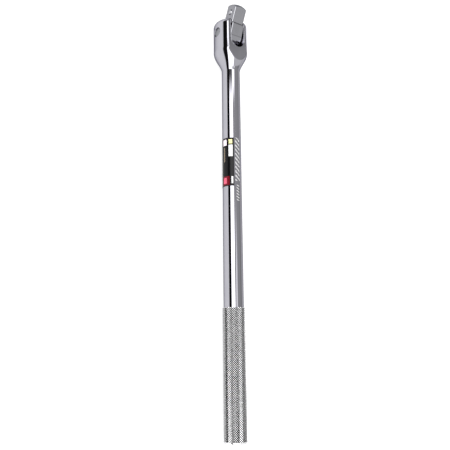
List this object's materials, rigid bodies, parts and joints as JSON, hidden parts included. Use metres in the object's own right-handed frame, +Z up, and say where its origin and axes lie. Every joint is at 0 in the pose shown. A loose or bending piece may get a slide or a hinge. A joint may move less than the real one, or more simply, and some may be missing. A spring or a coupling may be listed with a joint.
{
  "type": "breaker bar",
  "caption": "Long chromed breaker bar with a knurled grip, a forged fork and a hinged half-inch square drive that swings up and down.",
  "frame": {"origin": "on the surface that the bar lies on, under the middle of its box", "axes": "+Y along the bar from the grip toward the head; +X along the pivot pin; +Z up, the side to which the head is tilted at rest"},
  "size_m": [0.0304, 0.3816, 0.0289],
  "materials": {
    "polished_chrome": "polished chrome plate over forged steel, cross-knurled on the grip",
    "bright_steel": "hardened and ground steel",
    "spring_steel": "drawn spring wire",
    "black_vinyl": "glossy printed vinyl"
  },
  "bodies": {
    "handle": {"handle_bar": "polished_chrome", "pivot_pin": "bright_steel", "shank_label": "black_vinyl"},
    "head": {"drive_head": "polished_chrome", "socket_detent_spring": "spring_steel", "friction_spring": "spring_steel"},
    "socket_ball": {"socket_detent_ball": "bright_steel"},
    "drag_ball": {"friction_ball": "bright_steel"}
  },
  "joints": [
    {"name": "head_pivot", "type": "hinge", "parent": "handle", "child": "head", "pos_m": [0, 0.16373, 0.0114], "axis": [1, 0, 0], "range_deg": [-116, 64]},
    {"name": "socket_ball_press", "type": "slide", "parent": "head", "child": "socket_ball", "axis": [1, 0, 0], "range_m": [0, 0.001], "stiffness_N_per_m": 1500, "springref_m": -0.001, "deforming": ["socket_detent_spring"]},
    {"name": "drag_ball_press", "type": "slide", "parent": "head", "child": "drag_ball", "axis": [-1, 0, 0], "range_m": [0, 0.0004], "stiffness_N_per_m": 1500, "springref_m": -0.001, "deforming": ["friction_spring"]}
  ]
}
